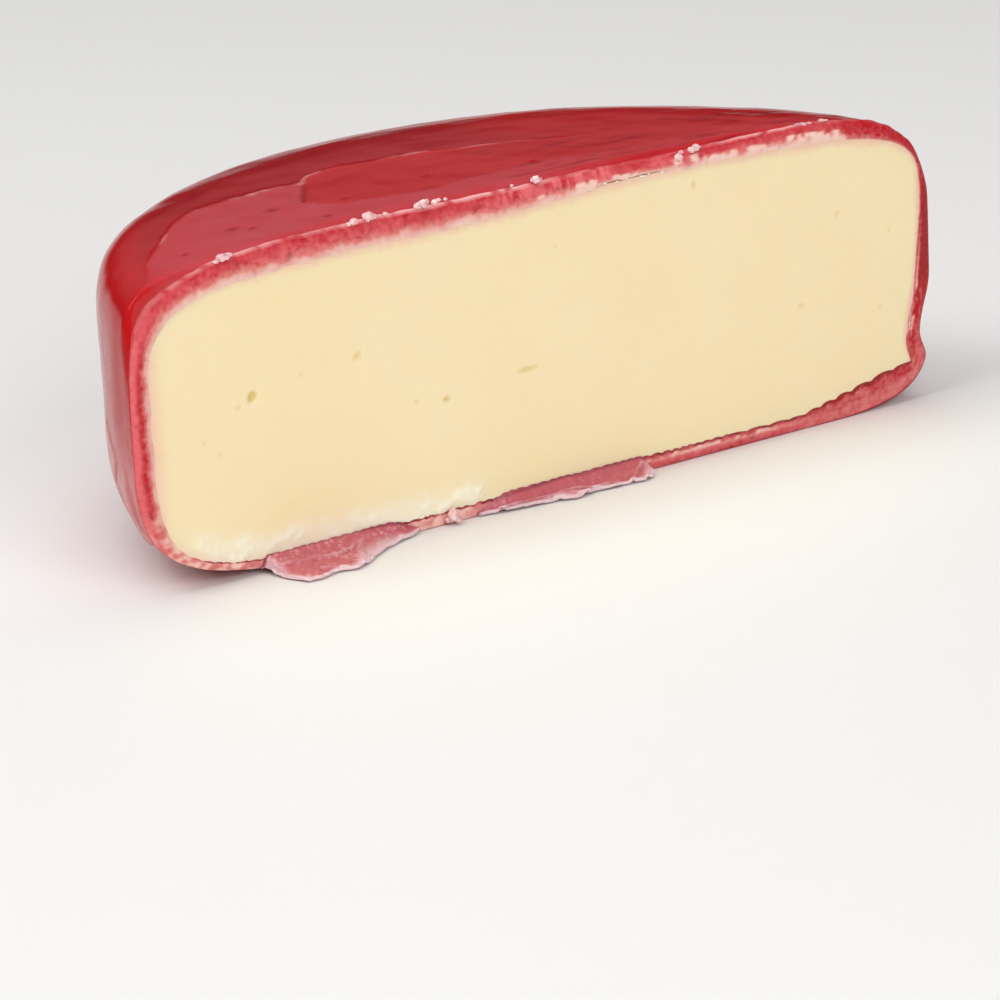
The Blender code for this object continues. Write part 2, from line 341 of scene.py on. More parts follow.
def dip_marks(points):
    """Height and shades of the marks on the wax's outer face."""
    across, back, up = (points[..., k] / MM for k in range(3))
    on_top = ramp(up, *TOP_STARTS)
    # The edge of the second dip's layer, and the notch in it, which is darkened as painted shade
    ragged = 0.5 * grain(points, 4.0, 21) + 0.25 * grain(points, 1.5, 22)
    behind = behind_path(across, back, LAYER_EDGE) + ragged
    clear_edge = on_top * (1.0 - ramp(across, 2.0, 20.0))
    height = LAYER_LIP * bump((behind + 0.5) / 0.8) - LAYER_STEP * ramp(behind, -0.2, 0.5)
    height = height * clear_edge
    dark = 0.45 * ramp(behind, 0.0, 1.4) * clear_edge
    ridge_and_reflection = 0.8 * bump((behind + 0.4) / 0.65) * ramp(grain(points, 7, 23), -0.2, 0.3) * clear_edge
    notch = away_from_path(across, back, DIP_EDGE)
    height = height - NOTCH_DEPTH * bump(notch / 0.7) * on_top
    dark = dark + 0.9 * bump(notch / 0.55) * on_top
    # The duller first dip: left of the notch, and in front of the patch's edge
    # Its paler colour partly stands in for the patch's brighter sheen: a painted sheen
    notch_line = np.interp(back, *zip(*[(deep, place) for place, deep in DIP_EDGE[::-1]]))
    left_of_notch = 1.0 - ramp(across - notch_line, -0.3, 0.1)
    patch_front = 1.0 - ramp(behind_path(across, back, PATCH_EDGE) + 0.8 * ragged, -0.6, 0.6)
    dulled_and_sheen = ramp(-behind, -0.2, 1.3) * np.maximum(left_of_notch, patch_front) * on_top
    dulled_and_sheen = dulled_and_sheen * (1.0 - 0.75 * ramp(across, -12.0, 22.0))
    dulled_and_sheen = dulled_and_sheen * (0.75 + 0.35 * grain(points, 5, 25))
    # Brush strokes on the right: shallow grooves, with darker colour standing in for their weaker
    # sheen as painted reflection
    swirl = [across * 0.22 + back * 0.05, back * 1.1 - across * 0.06, up * 0.0]
    swirl = np.stack(swirl, axis=-1) * MM
    streaks = grain(swirl, 1.9, 26) + 0.5 * grain(swirl, 0.8, 27)
    brushed_and_sheen = ramp(streaks, 0.05, 0.7) * ramp(across, -14.0, 2.0)
    brushed_and_sheen = brushed_and_sheen * (1.0 - ramp(back, 18.0, 28.0)) * on_top
    height = height - BRUSH_DEPTH * brushed_and_sheen
    dark = dark + 0.55 * brushed_and_sheen
    for place_x, place_y, width in TOP_PITS:
        apart = np.hypot(across - place_x, (back - place_y) * 1.5)
        pit = bump(apart / (1.25 * width)) * on_top
        height = height - PIT_DEPTH * pit
        dark = dark + 0.95 * pit
    turn = np.degrees(np.arctan2(points[..., 1] + CUT_BESIDE_MIDDLE, points[..., 0]))
    for place_turn, low, half_width, half_height in DRIPS:
        aside = np.radians(turn - place_turn) * BALL_RADIUS / MM / half_width
        rise = (up - low) / np.where(up > low, half_height * 1.8, half_height * 0.4)
        drip = ramp(1.15 - np.hypot(aside, rise), 0.0, 0.35)
        height = height + DRIP_HEIGHT * drip * (0.55 + 0.45 * ramp(-rise, -0.2, 0.8))
    # Scuffs and a crease low on the left flank; the crease is darkened as painted shade
    # The scuffs' pale pink is partly real scuffing and partly a painted reflection
    flank = ramp(turn, 146.0, 158.0) * ramp(up, 1.0, 4.0)
    streaked = grain(points * np.array([1.0, 1.0, 0.35]), 1.8, 41) + 0.5 * grain(points, 0.9, 42)
    scuff_and_reflection = flank * (1.0 - ramp(up + 4.0 * streaked, 15.0, 27.0)) * (0.52 + 0.36 * streaked)
    crease = away_from_path(turn, up, FLANK_CREASE)
    scuff_and_reflection = np.maximum(scuff_and_reflection, 0.75 * flank * bump((crease - 0.7) / 0.5))
    height = height + SCUFF_HEIGHT * scuff_and_reflection - FLANK_CREASE_DEPTH * flank * bump(crease / 0.8)
    dark = dark + 0.5 * flank * bump(crease / 0.45)
    ridge_and_reflection = np.maximum(ridge_and_reflection, np.clip(scuff_and_reflection, 0.0, 1.0))
    return height * MM, np.clip(dark, 0.0, 1.0), ridge_and_reflection, np.clip(dulled_and_sheen, 0.0, 1.0)


def wax_sheet():
    """The outer face of the wax, with its dips and waves, and its marks as shades."""
    fans = crowded(np.linspace(0.0, 1.0, SKIN_COLUMNS)) * math.pi
    points = ball_sheet(fans, BALL_CORNERS, NO_WALLS, WAX_CREASE)
    lift = points[..., 2] - BELLY_HEIGHT
    above = np.maximum(0.0, lift / (BALL_HEIGHT - BELLY_HEIGHT))
    # The knife's pull at the rim
    nearness = np.maximum(0.0, 1.0 - points[..., 1] / BEVEL_DEPTH) ** 2
    apart = np.hypot(points[..., 0] + BALL_RADIUS, points[..., 2] - BALL_HEIGHT)
    to_right = ramp(points[..., 0], 25 * MM, 60 * MM)
    pull = BEVEL_PULL * above * (1.0 - to_right) + CORNER_PULL * bump(apart / CORNER_SPREAD)
    pull = pull * nearness
    span = np.maximum(np.hypot(points[..., 0] / BALL_RADIUS, lift / BELLY_HEIGHT), 0.05)
    moved = points.copy()
    moved[..., 0] -= pull * points[..., 0] / BALL_RADIUS / span
    moved[..., 2] -= pull * lift / BELLY_HEIGHT / span
    back = np.maximum(0.0, 1.0 - points[..., 1] / SET_BACK_SPREAD) ** 2
    moved[..., 1] += back * edge_blend(edge_shares(points), EDGE_SET_BACK)
    # Marks, waves of the dip, wrinkles and the pressed-up lip
    height, dark, ridge_and_reflection, dulled_and_sheen = dip_marks(points)
    clear_of_table = ramp(points[..., 2], 0.2 * MM, 3.0 * MM)
    stretched = points * np.array([1.0, 1.0, 0.35])
    waves = 0.20 * grain(points, 19, 1) + 0.11 * grain(stretched, 5, 2)
    waves += 0.03 * grain(points, 2.2, 3)
    lip_width = (0.32 + 0.22 * grain(points, 1.9, 28)) * MM
    lips = np.maximum(0.0, 1.0 - points[..., 1] / lip_width) * ramp(above, 0.0, 0.5)
    burr = LIP_HEIGHT * lips * ramp(grain(points, 2.6, 4), -0.35, 0.3)
    wrinkled = np.maximum(0.0, 1.0 - points[..., 1] / WRINKLE_REACH) * ramp(above, 0.3, 0.8)
    waves += 0.07 * wrinkled * grain(points, 1.7, 24)
    inset = (0.3 * to_right - 0.2) * ramp(points[..., 2], 1.0 * MM, 6.0 * MM)
    rise = ((waves + inset) * MM + height) * clear_of_table + burr
    moved += outward(points) * rise[..., None]
    return moved, points, {"dark": dark, "ridge_and_reflection": ridge_and_reflection, "dulled_and_sheen": dulled_and_sheen, "lips": lips}


def saw_teeth(across):
    """The saw marks' outline along the lower edge, 0..1."""
    pitch = np.where(across > 30 * MM, WIDE_SAW_PITCH, SAW_PITCH)
    phase = across / pitch + 0.25 * np.sin(across / pitch * 0.9)
    return np.abs(np.sin(phase * math.pi)) ** 0.7


# Whitish bloom that the knife left on the cut wax: from and to across, and its start, 0..1
BLOOM = [
    (-2.5, 0.5, 0.6), (4.0, 8.0, 0.5), (10.5, 15.0, 0.6), (21.5, 23.0, 0.35), (24.5, 26.0, 0.35),
    (26.5, 33.0, 0.6), (34.5, 40.5, 0.62), (42.0, 52.5, 0.48)]
# Along the top edge: where the whitish lip of pressed-up wax shows, and how strongly
LIPS = [
    (-70, 0.15), (-60, 0.5), (-52, 0.8), (-42, 0.45), (-36, 0.6), (-30, 0.95), (-8, 1.0),
    (0, 0.55), (7, 0.25), (16, 0.1), (30, 0.3), (33, 0.85), (44, 0.9), (47, 0.3), (56, 0.15),
    (70, 0.1)]
# Cracks between wax and paste: from and to across, from and to in height, and width of the gap
CRACKS = [
    (7.5, 20.5, 42.0, 48.0, 0.28), (60.0, 70.0, 17.5, 23.0, 0.45), (60.0, 70.0, 11.2, 14.0, 0.35)]


def crack_places(across, up):
    """Where the cracks lie, with the width of the gap there in millimetres."""
    gape = np.zeros(across.shape)
    for low, high, lowest, highest, gap in CRACKS:
        inside = between(across, low, high, 1.5) * between(up, lowest, highest, 0.8)
        gape = np.maximum(gape, gap * inside)
    return gape


def band_shades(place, share, shares):
    """How veiled with paste, how bruised pale and how dark the cut wax is."""
    across = place[:, 0] / MM
    cloud = grain(place, 2.6, 31)
    fine = grain(place, 0.9, 32)
    top, base, left, right = (shares[name] for name in ("top", "base", "left", "right"))
    start = 0.44 + 0.16 * cloud + 0.10 * fine
    veil = ramp(share, start, start + 0.72) * np.where(across > 53, 0.45, 1.0) * top
    for low, high, from_share in BLOOM:
        inside = between(across, low - 0.5, high + 0.5, 1.0)
        patch = ramp(share + 0.12 * fine, from_share - 0.08, from_share + 0.08) * top
        veil = np.maximum(veil, inside * patch * ramp(fine + 0.6 * cloud, -0.55, 0.0))
    veil += 0.75 * left * ramp(share + 0.2 * cloud, 0.55, 1.05)
    veil += 0.70 * right * ramp(share + 0.06 * fine, 0.84, 1.0)
    outer = 1.0 - ramp(share + 0.10 * fine, 0.42, 0.62)
    mottled = ramp(fine + 0.5 * cloud, -0.5, 0.6)
    under_teeth = bump((share - 0.70 - 0.14 * fine - 0.10 * cloud) / 0.22)
    torn_middle = between(across, -30.0, -13.0, 3.0)
    right_middle = ramp(across, 13.0, 15.0) * (1.0 - ramp(across, 34.0, 50.0))
    far_right = ramp(across, 40.0, 52.0)
    veil += base * (0.12 * mottled + torn_middle * (0.45 + 0.4 * mottled))
    toothed = 0.75 * right_middle * under_teeth + far_right * (0.10 + 0.06 * outer)
    veil += base * toothed * (0.5 + 0.7 * mottled)
    low_right = right * (1.0 - ramp(place[:, 2] / MM, 12.0, 22.0))
    upright = grain(place * np.array([1.0, 0.4, 0.2]), 0.5, 37)
    veil += low_right * ramp(upright + 0.6 * cloud, 0.1, 0.5) * 0.42
    strokes = grain(place * np.array([1.0, 0.2, 0.25]), 0.75, 33)
    dragged = between(across, -10.0, 12.0, 4.0) * top
    pale = np.clip(0.62 + 0.5 * cloud + 0.45 * fine, 0, 1) * (0.45 + 0.55 * ramp(share, 0.1, 0.6))
    pale = pale * (1.0 - left) + left * (0.95 - 0.75 * ramp(share + 0.12 * cloud, 0.25, 0.55))
    pale = pale + dragged * ramp(strokes, 0.0, 0.35) * 0.8
    pale = pale * (1.0 - 0.85 * right) * np.where(across > 53, 0.3, 1.0)
    level = grain(place * np.array([0.12, 0.4, 1.0]), 0.45, 38)
    far_pale = 0.20 + 0.55 * outer + 0.55 * level
    pale = mix(pale, mix(0.8 - 0.5 * right_middle * bump(share / 0.6), far_pale, far_right), base)
    pitted = 0.5 * top + 0.7 * base * (1.0 - far_right) + 0.3 * left
    pits_and_shade = ramp(grain(place, 1.3, 34), 0.42, 0.62) * pitted
    low_left = base * ramp(-across, 42.0, 48.0)
    veil += low_left * (0.30 + 0.55 * ramp(fine + 0.5 * cloud, -0.2, 0.4))
    pits_and_shade = np.maximum(pits_and_shade, low_left * ramp(grain(place, 0.8, 40), 0.30, 0.45) * 0.9)
    # Along the saw line by the paste the cut wax is darkened as painted shade
    saw_line_shade = base * ramp(share + 0.05 * fine, 0.86, 0.94) * (1.0 - ramp(-across, 58.0, 64.0))
    pits_and_shade = np.maximum(pits_and_shade, saw_line_shade * (0.75 + 0.4 * fine))
    pits_and_shade = np.maximum(pits_and_shade, (0.42 + 0.15 * fine) * (right - low_right))
    # In the cracks between wax and paste it is darkened as painted shade
    gape = np.minimum(crack_places(across, place[:, 2] / MM) * 4.0, 1.0)
    pits_and_shade = np.maximum(pits_and_shade, gape * ramp(share, 0.88, 0.98))
    beside = bump((share - 0.72 - 0.12 * fine) / 0.16) * ramp(fine + cloud, -0.3, 0.3)
    veil += 0.8 * gape * right * beside
    veil, pale, pits_and_shade = (np.clip(values, 0, 1) for values in (veil, pale, pits_and_shade))
    return veil * (1.0 - saw_line_shade), pale, pits_and_shade, strokes * dragged


def cut_band(rim, hollow):
    """The cut edge of the wax, from its outer rim to the paste: columns of points and shades."""
    shares = edge_shares(hollow)
    inward = hollow - rim
    inward[:, 1] = 0.0
    width = np.maximum(np.linalg.norm(inward, axis=1, keepdims=True), 1e-6)
    inward = inward / width
    ragged = grain(hollow, 3.4, 5) * 0.35 * MM + grain(hollow, 1.1, 6) * 0.15 * MM
    teeth = SAW_HEIGHT * saw_teeth(hollow[:, 0]) * shares["base"]
    to_right = ramp(hollow[:, 0], 40 * MM, 54 * MM)
    teeth = teeth * (1.0 + 0.9 * to_right)
    ragged = ragged * (0.8 - 0.6 * shares["base"]) * (1.0 - 0.5 * to_right)
    lap = (0.32 - 0.17 * to_right) * MM + ragged + teeth
    left_top = shares["top"] * ramp(-hollow[:, 0], 30 * MM, 52 * MM)
    lap += (0.65 * shares["left"] + 0.5 * left_top) * MM
    from_corner = np.hypot(hollow[:, 0] - LOW_CORNER[0], hollow[:, 2] - LOW_CORNER[1])
    near_corner = bump(from_corner / LOW_CORNER_REACH)
    lap = np.maximum(lap * (1.0 - 0.7 * near_corner), 0.10 * MM)
    gape = crack_places(hollow[:, 0] / MM, hollow[:, 2] / MM)
    worn = 0.60 + 1.2 * grain(hollow, 1.0, 36)
    lap = mix(lap, -gape * worn * MM, np.minimum(gape * 8.0, 1.0))
    columns = []
    shades = {"veil": [], "pale": [], "dark": []}
    for step in range(1, BAND_COLUMNS + 1):
        share = step / BAND_COLUMNS
        place = mix(rim, hollow, share) + inward * (lap * share ** 2)[:, None]
        veil, pale, pits_and_shade, strokes = band_shades(place, share, shares)
        rounding = (1.0 - share) ** 2.0
        rough = grain(place, 0.9, 7) * 0.06 * MM + grain(place, 2.8, 8) * 0.10 * MM
        place[:, 1] = rim[:, 1] * rounding - BAND_SWELL * np.sin(math.pi * share) - BAND_PROUD
        clear = share * (1.0 - shares["base"] * ramp(share, 0.45, 0.72))
        clear = clear * (1.0 - ramp(share, 0.7, 0.9))
        place[:, 1] += (rough + (0.22 * pits_and_shade - 0.10 * strokes - 0.04) * MM) * clear
        columns.append(place)
        shades["veil"].append(veil)
        shades["pale"].append(pale)
        shades["dark"].append(pits_and_shade)
    feather = 0.25 * MM * (1.0 - np.minimum(gape * 8.0, 1.0))
    turned_in = columns[-1] + inward * feather[:, None]
    turned_in[:, 1] += 0.05 * MM
    tucked = hollow.copy()
    tucked[:, 1] = TUCK_DEPTH
    columns.extend([turned_in, tucked])
    for values in shades.values():
        values.extend([values[-1], values[-1]])
    return np.stack(columns, 1), {key: np.stack(values, 1) for key, values in shades.items()}


def new_piece(name, grid_rows, grid_columns):
    """A flat grid primitive with the given number of points, ready to be shaped."""
    bpy.ops.object.select_all(action="DESELECT")
    bpy.ops.mesh.primitive_grid_add(x_subdivisions=grid_columns - 1, y_subdivisions=grid_rows - 1,
                                    size=1.0, location=(0, 0, 0))
    piece = bpy.context.object
    piece.name = name
    piece.data.name = name
    return piece


def shape_grid(piece, places, shades, weld=False):
    """Move a grid's points to their places and note their shades."""
    mesh = piece.data
    mesh.vertices.foreach_set("co", places.astype(np.float32).ravel())
    for key, value in shades.items():
        attribute = mesh.attributes.new(key, "FLOAT", "POINT")
        attribute.data.foreach_set("value", value.astype(np.float32).ravel())
    bpy.ops.object.mode_set(mode="EDIT")
    bpy.ops.mesh.select_all(action="SELECT")
    if weld:
        bpy.ops.mesh.remove_doubles(threshold=WELD_DISTANCE)
    bpy.ops.mesh.normals_make_consistent(inside=False)
    bpy.ops.object.mode_set(mode="OBJECT")


def wrap_grid(name, sheet, shades):
    """Wrap a grid primitive on a sheet of points that closes on itself, and weld its seams."""
    sheet = np.concatenate([sheet, sheet[:, :1]], axis=1)
    shades = {key: np.concatenate([value, value[:, :1]], axis=1) for key, value in shades.items()}
    piece = new_piece(name, *sheet.shape[:2])
    shape_grid(piece, sheet + np.array([0.0, CUT_PLACE, 0.0]), shades, weld=True)
    piece.data.shade_smooth()
    return piece


def film_places(points):
    """Where the cut wax of the lower edge is stressed milky, most of all beside the flaps."""
    across, up = points[..., 0] / MM, points[..., 2] / MM
    inside = 0.12 + 0.0 * across
    for flap in (BROAD_FLAP, THIN_FLAP):
        left, right = flap[0][0], flap[-1][0]
        inside = np.maximum(inside, between(across, left - 2.0, right + 1.0, 4.0))
    return inside * (1.0 - ramp(up, 4.0, 6.0))


def make_wax():
    """The whole wax coat: outer face, cut edge and the wall against the paste."""
    skin, plain, marks = wax_sheet()
    hollow_fans = np.linspace(math.pi, 0.0, HOLLOW_COLUMNS + 2)
    hollow = ball_sheet(hollow_fans, PASTE_CORNERS, WALLS, PASTE_CREASE)
    hollow[:, 0] = paste_outline(-1, skin[:, -1])
    hollow[:, -1] = paste_outline(1, skin[:, 0])
    left_band, left_shades = cut_band(skin[:, -1], hollow[:, 0])
    right_band, right_shades = cut_band(skin[:, 0], hollow[:, -1])
    inner = hollow[:, 1:-1].copy()
    inner[..., 1] = np.maximum(inner[..., 1], TUCK_DEPTH + 0.05 * MM)
    sheet = np.concatenate([skin, left_band, inner, right_band[:, ::-1]], axis=1)
    no_skin, no_band, no_inner = (np.zeros(part.shape[:2]) for part in (skin, left_band, inner))
    lip = np.interp(plain[..., 0] / MM, *zip(*LIPS)) * ramp(marks["lips"], 0.05, 0.5)
    lip = lip * ramp(grain(plain, 1.6, 35), -0.75, 0.15)
    left_lip, right_lip = no_band.copy(), no_band.copy()
    left_lip[:, 0], right_lip[:, 0] = 0.5 * lip[:, -1], 0.5 * lip[:, 0]
    on_skin = {"veil": no_skin, "pale": no_skin, "dark": marks["dark"]}
    shades = {key: [values, left_shades[key], no_inner, right_shades[key][:, ::-1]]
              for key, values in on_skin.items()}
    shades["cut_wax"] = [ramp(marks["lips"], 0.1, 0.9), no_band + 1, no_inner + 1, no_band + 1]
    shades["dulled_and_sheen"] = [marks["dulled_and_sheen"], no_band, no_inner, no_band]
    whitish = np.maximum(marks["ridge_and_reflection"] * 0.7, lip)
    shades["ridge_and_reflection"] = [whitish, left_lip, no_inner, right_lip[:, ::-1]]
    shades = {key: np.concatenate(parts, axis=1) for key, parts in shades.items()}
    shades["film"] = film_places(sheet) * shades["cut_wax"]
    wax = wrap_grid("red_wax_coat", sheet, shades)
    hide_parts("wax_coat")
    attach(wax, "root")
    return wax


# Gas holes in the cut face: millimetres across and up, half width, half height, depth
EYES = [
    (-50.5, 25.5, 1.0, 0.9, 0.8), (-52.9, 24.6, 0.6, 0.4, 0.15), (-33.6, 27.8, 0.8, 0.8, 0.3),
    (-42.6, 27.1, 0.4, 0.3, 0.1), (-24.3, 19.2, 0.5, 0.4, 0.25), (-19.3, 18.5, 0.9, 0.6, 0.45),
    (-5.4, 20.0, 2.1, 0.5, 0.3), (-58.5, 20.7, 0.5, 0.4, 0.25), (-56.1, 18.5, 0.5, 0.4, 0.15),
    (24.9, 41.3, 0.5, 0.8, 0.2), (51.2, 32.2, 0.5, 0.7, 0.2), (44.2, 19.5, 0.9, 0.4, 0.25),
    (59.7, 16.2, 0.5, 0.4, 0.15), (0.3, 36.9, 0.4, 0.3, 0.15), (61.3, 27.8, 0.4, 0.4, 0.15)]
# Lumps that the knife tore out at the lower edge: across and up, half width and half height
TORN_CORNERS = [
    (-16.3, 3.6, 3.0, 1.6), (-20.8, 2.7, 1.8, 0.7), (-54.5, 3.4, 2.2, 0.7)]


RIGHT_END = math.sqrt((BALL_RADIUS - WAX_SIDE[1]) ** 2 - CUT_BESIDE_MIDDLE ** 2)
LEFT_END = math.sqrt((BALL_RADIUS - WAX_SIDE[0]) ** 2 - CUT_BESIDE_MIDDLE ** 2)


def paste_edges(across):
    """Height of the paste's lower and upper edge on the cut face at a place across it."""
    radius = np.hypot(across, CUT_BESIDE_MIDDLE)
    turn = np.arctan2(CUT_BESIDE_MIDDLE, across)
    right = (1.0 + np.cos(turn)) / 2.0
    side, top, base = (mix(wall[0], wall[1], right) for wall in WALLS)
    share = np.minimum(radius / (BALL_RADIUS - side), 1.0)
    heights = []
    for name in ("base", "top"):
        at_left, at_right = PASTE_CORNERS[name]
        along, upward = (mix(at_left[k], at_right[k], right) for k in (0, 1))
        heights.append((1.0 - share ** along) ** (1.0 / upward))
    low = np.maximum(BELLY_HEIGHT - (BELLY_HEIGHT - base + FOOT_FLATTENING) * heights[0], base)
    thick = THICK_BASE_HEIGHT + THICK_BASE_SLOPE * (across - THICK_BASE_START)
    low = np.where(across > THICK_BASE_START, np.maximum(low, thick), low)
    high = BELLY_HEIGHT + (BALL_HEIGHT - top - BELLY_HEIGHT) * heights[1]
    return low, high


def corner_row(path, side):
    """Row of a path's lowest outermost point."""
    return int(np.argmax(side * path[:, 0] - path[:, 2]))


def paste_outline(side, rim):
    """The paste's edge on the cut face, from the top's middle over one end to the base's middle.

    Its corner lies in the same row as the corner of the wax's rim.
    """
    end = RIGHT_END if side > 0 else LEFT_END
    across = side * end * (1.0 - np.linspace(0.0, 1.0, DENSE_STEPS) ** 5)
    turn = np.arctan2(CUT_BESIDE_MIDDLE, across)
    lower, upper = (
        np.stack([across - crease_pull(edge, turn, PASTE_CREASE), 0.0 * edge, edge], axis=1)
        for edge in paste_edges(across))
    corner, row = corner_row(lower, side), corner_row(rim[ROWS_UP:], side)
    return np.concatenate([evenly(upper, ROWS_UP)[::-1], evenly(lower[:corner + 1], row)[1:],
                           evenly(lower[corner:], ROWS_DOWN - row)[1:]])


def paste_back(across):
    """Points of the paste's hidden surface behind the cut, from its upper to its lower edge."""
    angle = crowded(np.linspace(0.0, 1.0, DENSE_STEPS)) * (math.pi / 2)
    halves = []
    for sign in (1, -1):
        turn = np.full_like(angle, math.atan2(CUT_BESIDE_MIDDLE, across))
        for _ in range(TURN_ROUNDS):
            radius, height = ball_profile(sign * angle, turn, PASTE_CORNERS, WALLS)
            behind = np.sqrt(np.maximum(radius ** 2 - across ** 2, 0.0))
            turn = np.arctan2(behind, across)
        back = np.maximum(behind - CUT_BESIDE_MIDDLE, 0.0)
        halves.append(np.stack([np.full_like(back, across), back, height], axis=1))
    path = np.concatenate([halves[0][::-1], halves[1][1:]])
    return evenly(path[path[:, 1] > 0], PASTE_BACK_ROWS + 1)


def off_spot(across, up, place_x, place_z, half_width, half_height):
    """Distance from the middle of an oval spot on the cut face: 1 at its rim."""
    return np.hypot((across / MM - place_x) / half_width, (up / MM - place_z) / half_height)


def paste_face_relief(points):
    """How far the cut face stands back from its plane, and its shades."""
    across, up = points[..., 0], points[..., 2]
    low, high = paste_edges(across)
    depth = 0.05 * MM * grain(points, 24, 11) + 0.015 * MM * grain(points, 3, 12)
    painted_hole_shade = np.zeros(across.shape)
    wobble = 0.35 * grain(points, 0.9, 13)
    for *spot, deep in EYES:
        hole = 1.0 - ramp(off_spot(across, up, *spot) + wobble, 0.45, 1.05)
        depth = depth + deep * EYE_SHARE * MM * hole
        # Inside the holes the paste is darkened as painted shade, the more the deeper the hole
        painted_hole_shade = np.maximum(painted_hole_shade, hole * min(1.0, 0.3 + deep))
    scraped = ramp(across, -64 * MM, -58 * MM) * (1 - ramp(across, -27 * MM, -8 * MM))
    scraped = scraped * (1 - ramp(up - low + 0.8 * MM * grain(points, 4, 17), 1.8 * MM, 5.8 * MM))
    crumbly = ramp(grain(points, 1.6, 14) + 0.6 * grain(points, 0.8, 39), -0.1, 0.5)
    depth = depth - scraped * crumbly * SCRAPE_HEIGHT
    from_left, from_right = across + LEFT_END, RIGHT_END - across
    from_edge = np.minimum.reduce([up - low, high - up, from_left, from_right])
    depth = mix(-0.012 * MM, depth, ramp(from_edge, 0.3 * MM, 2.2 * MM))
    torn = np.zeros(across.shape)
    for spot in TORN_CORNERS:
        torn = np.maximum(torn, 1.0 - ramp(off_spot(across, up, *spot) + wobble, 0.5, 1.1))
    lumpy = 0.30 + 0.30 * grain(points, 1.0, 18) + 0.15 * grain(points, 0.5, 19)
    depth = depth - torn * np.maximum(lumpy, 0.05) * MM
    scraped = np.maximum(scraped * (0.7 + 0.5 * crumbly), 0.9 * torn)
    reach = 1.9 + 0.7 * grain(points, 3.0, 15) + 0.4 * grain(points, 1.0, 16)
    smear = np.maximum(1.0 - ramp((high - up) / MM, 0.0, np.maximum(reach, 0.3)),
                       0.6 - 0.6 * ramp((up - low) / MM, 0.0, np.maximum(0.4 * reach, 0.2)))
    smear = np.maximum(smear, 1.0 - ramp(from_left / MM, 0.1, 2.4 + 0.8 * reach))
    smear = np.maximum(smear, 0.9 - 0.9 * ramp(from_right / MM, 0.1, 0.9 + 0.3 * reach))
    low_left = (1.0 - ramp(across, -52 * MM, -38 * MM)) * (1.0 - ramp((up - low) / MM, 0.2, 2.4))
    smear = np.maximum(smear * (1.0 - 0.5 * scraped), 0.5 * low_left) * (1.0 - 0.8 * torn)
    return depth, {"hole_shade": painted_hole_shade, "scraped": np.clip(scraped, 0.0, 1.0), "smear": smear}


def make_paste():
    """The pale paste: a finely modelled cut face on the plain hidden body."""
    share = np.linspace(-1.0, 1.0, PASTE_COLUMNS)
    ends = np.where(share > 0, RIGHT_END, LEFT_END) * PASTE_INSET
    across = np.sign(share) * ends * (1.0 - (1.0 - np.abs(share)) ** PASTE_CROWDING)
    low, high = paste_edges(across)
    rise = np.linspace(0.0, 1.0, PASTE_FRONT_ROWS)[:, None]
    up = low[None, :] + (high - low)[None, :] * rise
    front = np.stack([np.broadcast_to(across, up.shape), np.zeros(up.shape), up], axis=-1)
    depth, shades = paste_face_relief(front)
    front[..., 1] += depth
    turned_in = front[[0, -1]] + np.array([0.0, 0.03 * MM, 0.0])
    front = np.concatenate([turned_in[:1], front, turned_in[1:]], axis=0)
    back = np.stack([paste_back(place) for place in across], axis=1)
    sheet = np.concatenate([front, back], axis=0)
    turn = np.arctan2(sheet[..., 1] + CUT_BESIDE_MIDDLE, sheet[..., 0])
    radius = np.hypot(sheet[..., 0], sheet[..., 1] + CUT_BESIDE_MIDDLE)
    fade = bump((BALL_RADIUS - WAX_SIDE[1] - radius) / CREASE_FADE)
    sheet[..., 0] -= crease_pull(sheet[..., 2], turn, PASTE_CREASE) * fade
    plain = np.zeros(back.shape[:2])
    shades = {key: np.concatenate([value[:1], value, value[-1:], plain]).T
              for key, value in shades.items()}
    paste = wrap_grid("cheese_paste", sheet.transpose(1, 0, 2), shades)
    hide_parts("cheese")
    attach(paste, "root")
    return paste


def apply_all(piece):
    """Apply every modifier of a piece, in order."""
    bpy.context.view_layer.objects.active = piece
    for modifier in list(piece.modifiers):
        bpy.ops.object.modifier_apply(modifier=modifier.name)


